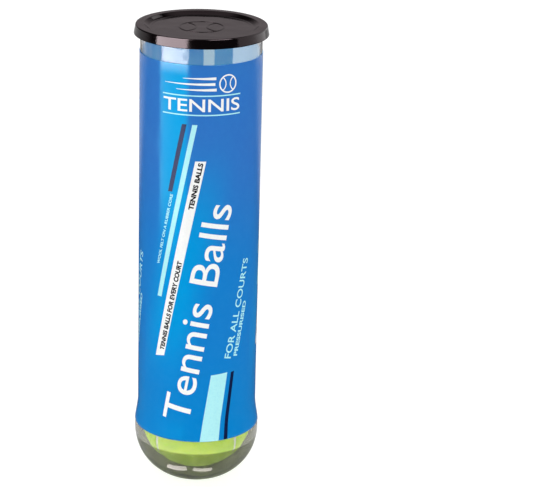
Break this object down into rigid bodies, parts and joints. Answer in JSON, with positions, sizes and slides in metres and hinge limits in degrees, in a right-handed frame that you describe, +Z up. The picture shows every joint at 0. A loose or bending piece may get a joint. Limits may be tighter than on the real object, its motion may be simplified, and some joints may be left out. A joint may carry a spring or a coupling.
{
  "type": "tennis ball can",
  "caption": "Clear tube-shaped can for tennis balls with a printed shrink label, a rounded base, a rolled metal ring at its mouth and a black snap lid, with balls inside.",
  "frame": {"origin": "centre of the base, on the surface that the can stands on", "axes": "+Z up along the tube, towards the snap lid; the label's main panel faces -Y"},
  "size_m": [0.076, 0.076, 0.275],
  "materials": {
    "clear_body": "clear blown PET plastic, glossy",
    "label_film": "glossy printed shrink film",
    "seam_ring": "rolled sheet, satin",
    "seam_compound": "soft sealing compound",
    "overcap": "glossy black moulded polyethylene",
    "core_rubber": "moulded rubber, matt",
    "felt": "fuzzy wool and nylon felt",
    "seam_cement": "off-white rubber seam"
  },
  "bodies": {
    "can": {"can_body": "clear_body", "label_sleeve": "label_film", "seam_ring": "seam_ring", "seam_compound": "seam_compound"},
    "overcap": {"overcap": "overcap"},
    "ball_1": {"ball_1_core_lower": "core_rubber", "ball_1_core_upper": "core_rubber", "ball_1_felt_a": "felt", "ball_1_felt_b": "felt", "ball_1_seam": "seam_cement"},
    "ball_2": {"ball_2_core_lower": "core_rubber", "ball_2_core_upper": "core_rubber", "ball_2_felt_a": "felt", "ball_2_felt_b": "felt", "ball_2_seam": "seam_cement"},
    "ball_3": {"ball_3_core_lower": "core_rubber", "ball_3_core_upper": "core_rubber", "ball_3_felt_a": "felt", "ball_3_felt_b": "felt", "ball_3_seam": "seam_cement"}
  },
  "joints": [
    {"name": "overcap_pull", "type": "slide", "parent": "can", "child": "overcap", "axis": [0, 0, 1], "range_m": [0, 0.09]},
    {"name": "ball_1_lift", "type": "slide", "parent": "can", "child": "ball_1", "axis": [0, 0, 1], "range_m": [0, 0.022]},
    {"name": "ball_2_lift", "type": "slide", "parent": "ball_1", "child": "ball_2", "axis": [0, 0, 1], "range_m": [0, 0.022]},
    {"name": "ball_3_lift", "type": "slide", "parent": "ball_2", "child": "ball_3", "axis": [0, 0, 1], "range_m": [0, 0.022]}
  ]
}
